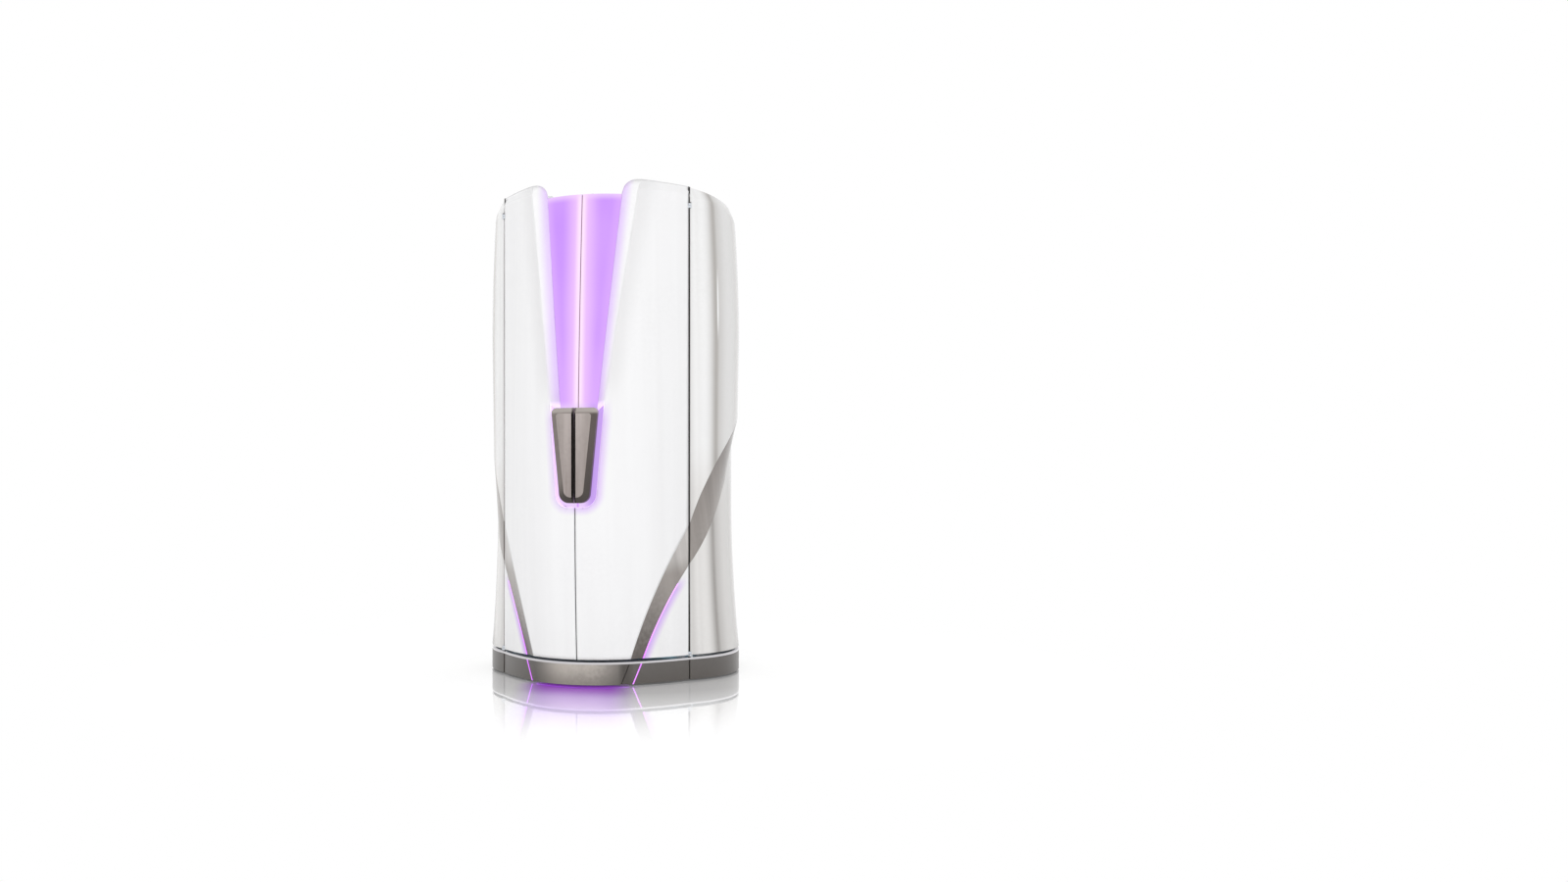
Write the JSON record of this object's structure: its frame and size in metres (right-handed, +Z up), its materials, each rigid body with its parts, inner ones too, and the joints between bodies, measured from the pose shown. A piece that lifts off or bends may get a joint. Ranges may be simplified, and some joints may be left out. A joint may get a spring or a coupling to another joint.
{
  "type": "vertical tanning booth",
  "caption": "Round stand-up tanning booth with two bowed lamp doors, lit front panel, control column, ceiling fan and grab ring.",
  "frame": {"origin": "on the floor under the centre of the round cabin, at the underside of the centre foot", "axes": "+Z up along the booth's height, front towards -Y, +X to the right seen from the front"},
  "size_m": [1.262, 1.357, 2.35],
  "materials": {
    "white_shell": "white high-gloss moulded shell",
    "taupe_trim": "satin taupe paint",
    "handle_taupe": "satin taupe-grey moulding",
    "rim_light": "light grey trim line",
    "lilac_panel": "back-lit lilac translucent panel",
    "led": "lit purple strip",
    "aluminium": "satin anodised extrusion",
    "reflector": "bright rolled reflector sheet",
    "lamp_glass": "lit fluorescent tube",
    "clear_acrylic": "clear acrylic shield",
    "white_holder": "blue-grey lamp rail",
    "steel": "bare steel",
    "black_rubber": "black rubber foot",
    "chassis_paint": "dark grey powder coat",
    "platform_dark": "dark grey-blue platform",
    "tread_blue": "blue-grey tread",
    "column_grey": "dark blue-grey column",
    "column_pink": "pale pink mottled panel",
    "strip_lilac": "grey-lilac control strip",
    "key_grey": "light grey key",
    "display_glass": "dark display glass",
    "dock_black": "black dock",
    "roof_grey": "light grey sheet",
    "canopy_blue": "blue transparent canopy",
    "speaker_dark": "dark speaker",
    "fan_dark": "dark blue fan moulding",
    "ring_teal": "dark teal painted tube",
    "vent_black": "black ribbed outlet"
  },
  "bodies": {
    "cabinet": {"air_ducts": "white_shell", "base_chassis": "chassis_paint", "base_front_fascia": "taupe_trim", "base_led_strips": "led", "base_rim": "rim_light", "base_side_fascia": "taupe_trim", "ceiling_canopy": "canopy_blue", "ceiling_speakers": "speaker_dark", "column_displays": "display_glass", "column_housing": "column_grey", "column_panel": "column_pink", "control_strip": "strip_lilac", "fan_housing": "white_shell", "fan_shroud": "fan_dark", "floor_platform": "platform_dark", "floor_tread": "tread_blue", "front_posts": "aluminium", "grab_ring": "ring_teal", "hinge_pins": "steel", "levelling_feet": "black_rubber", "media_dock": "dock_black", "rear_cover": "white_shell", "rear_lampholders": "white_holder", "rear_lamps": "lamp_glass", "rear_reflectors": "reflector", "rear_shields": "clear_acrylic", "roof_frame": "roof_grey", "side_ramps": "taupe_trim", "side_shells_lower": "white_shell", "side_shells_upper": "white_shell"},
    "door_left": {"door_shell_upper_left": "white_shell", "door_shell_lower_left": "white_shell", "door_ramp_left": "taupe_trim", "door_led_left": "led", "door_light_panel_left": "lilac_panel", "door_handle_left": "handle_taupe", "door_frame_left": "aluminium", "door_lamps_left": "lamp_glass", "door_reflector_left": "reflector", "door_shield_left": "clear_acrylic", "door_vent_left": "vent_black"},
    "door_right": {"door_shell_upper_right": "white_shell", "door_shell_lower_right": "white_shell", "door_ramp_right": "taupe_trim", "door_led_right": "led", "door_light_panel_right": "lilac_panel", "door_handle_right": "handle_taupe", "door_frame_right": "aluminium", "door_lamps_right": "lamp_glass", "door_reflector_right": "reflector", "door_shield_right": "clear_acrylic", "door_vent_right": "vent_black"},
    "fan": {"fan_rotor": "fan_dark"},
    "start_key": {"start_key": "key_grey"},
    "stop_key": {"stop_key": "key_grey"},
    "body_fan_key": {"body_fan_key": "key_grey"},
    "face_fan_key": {"face_fan_key": "key_grey"},
    "light_key": {"light_key": "key_grey"},
    "volume_up_key": {"volume_up_key": "key_grey"},
    "volume_down_key": {"volume_down_key": "key_grey"}
  },
  "joints": [
    {"name": "door_right_swing", "type": "hinge", "parent": "cabinet", "child": "door_right", "pos_m": [0.465, -0.365, 1.2], "axis": [0, 0, 1], "range_deg": [0, 145]},
    {"name": "door_left_swing", "type": "hinge", "parent": "cabinet", "child": "door_left", "pos_m": [-0.465, -0.365, 1.2], "axis": [0, 0, -1], "range_deg": [0, 145]},
    {"name": "fan_spin", "type": "hinge", "parent": "cabinet", "child": "fan", "pos_m": [0, 0, 2.26], "axis": [0, 0, 1], "continuous": true},
    {"name": "start_key_press", "type": "slide", "parent": "cabinet", "child": "start_key", "axis": [0, 1, 0], "range_m": [0, 0.0015], "stiffness_N_per_m": 400, "springref_m": -0.0005},
    {"name": "stop_key_press", "type": "slide", "parent": "cabinet", "child": "stop_key", "axis": [0, 1, 0], "range_m": [0, 0.0015], "stiffness_N_per_m": 400, "springref_m": -0.0005},
    {"name": "body_fan_key_press", "type": "slide", "parent": "cabinet", "child": "body_fan_key", "axis": [0, 1, 0], "range_m": [0, 0.0015], "stiffness_N_per_m": 400, "springref_m": -0.0005},
    {"name": "face_fan_key_press", "type": "slide", "parent": "cabinet", "child": "face_fan_key", "axis": [0, 1, 0], "range_m": [0, 0.0015], "stiffness_N_per_m": 400, "springref_m": -0.0005},
    {"name": "light_key_press", "type": "slide", "parent": "cabinet", "child": "light_key", "axis": [0, 1, 0], "range_m": [0, 0.0015], "stiffness_N_per_m": 400, "springref_m": -0.0005},
    {"name": "volume_up_key_press", "type": "slide", "parent": "cabinet", "child": "volume_up_key", "axis": [0, 1, 0], "range_m": [0, 0.0015], "stiffness_N_per_m": 400, "springref_m": -0.0005},
    {"name": "volume_down_key_press", "type": "slide", "parent": "cabinet", "child": "volume_down_key", "axis": [0, 1, 0], "range_m": [0, 0.0015], "stiffness_N_per_m": 400, "springref_m": -0.0005}
  ]
}
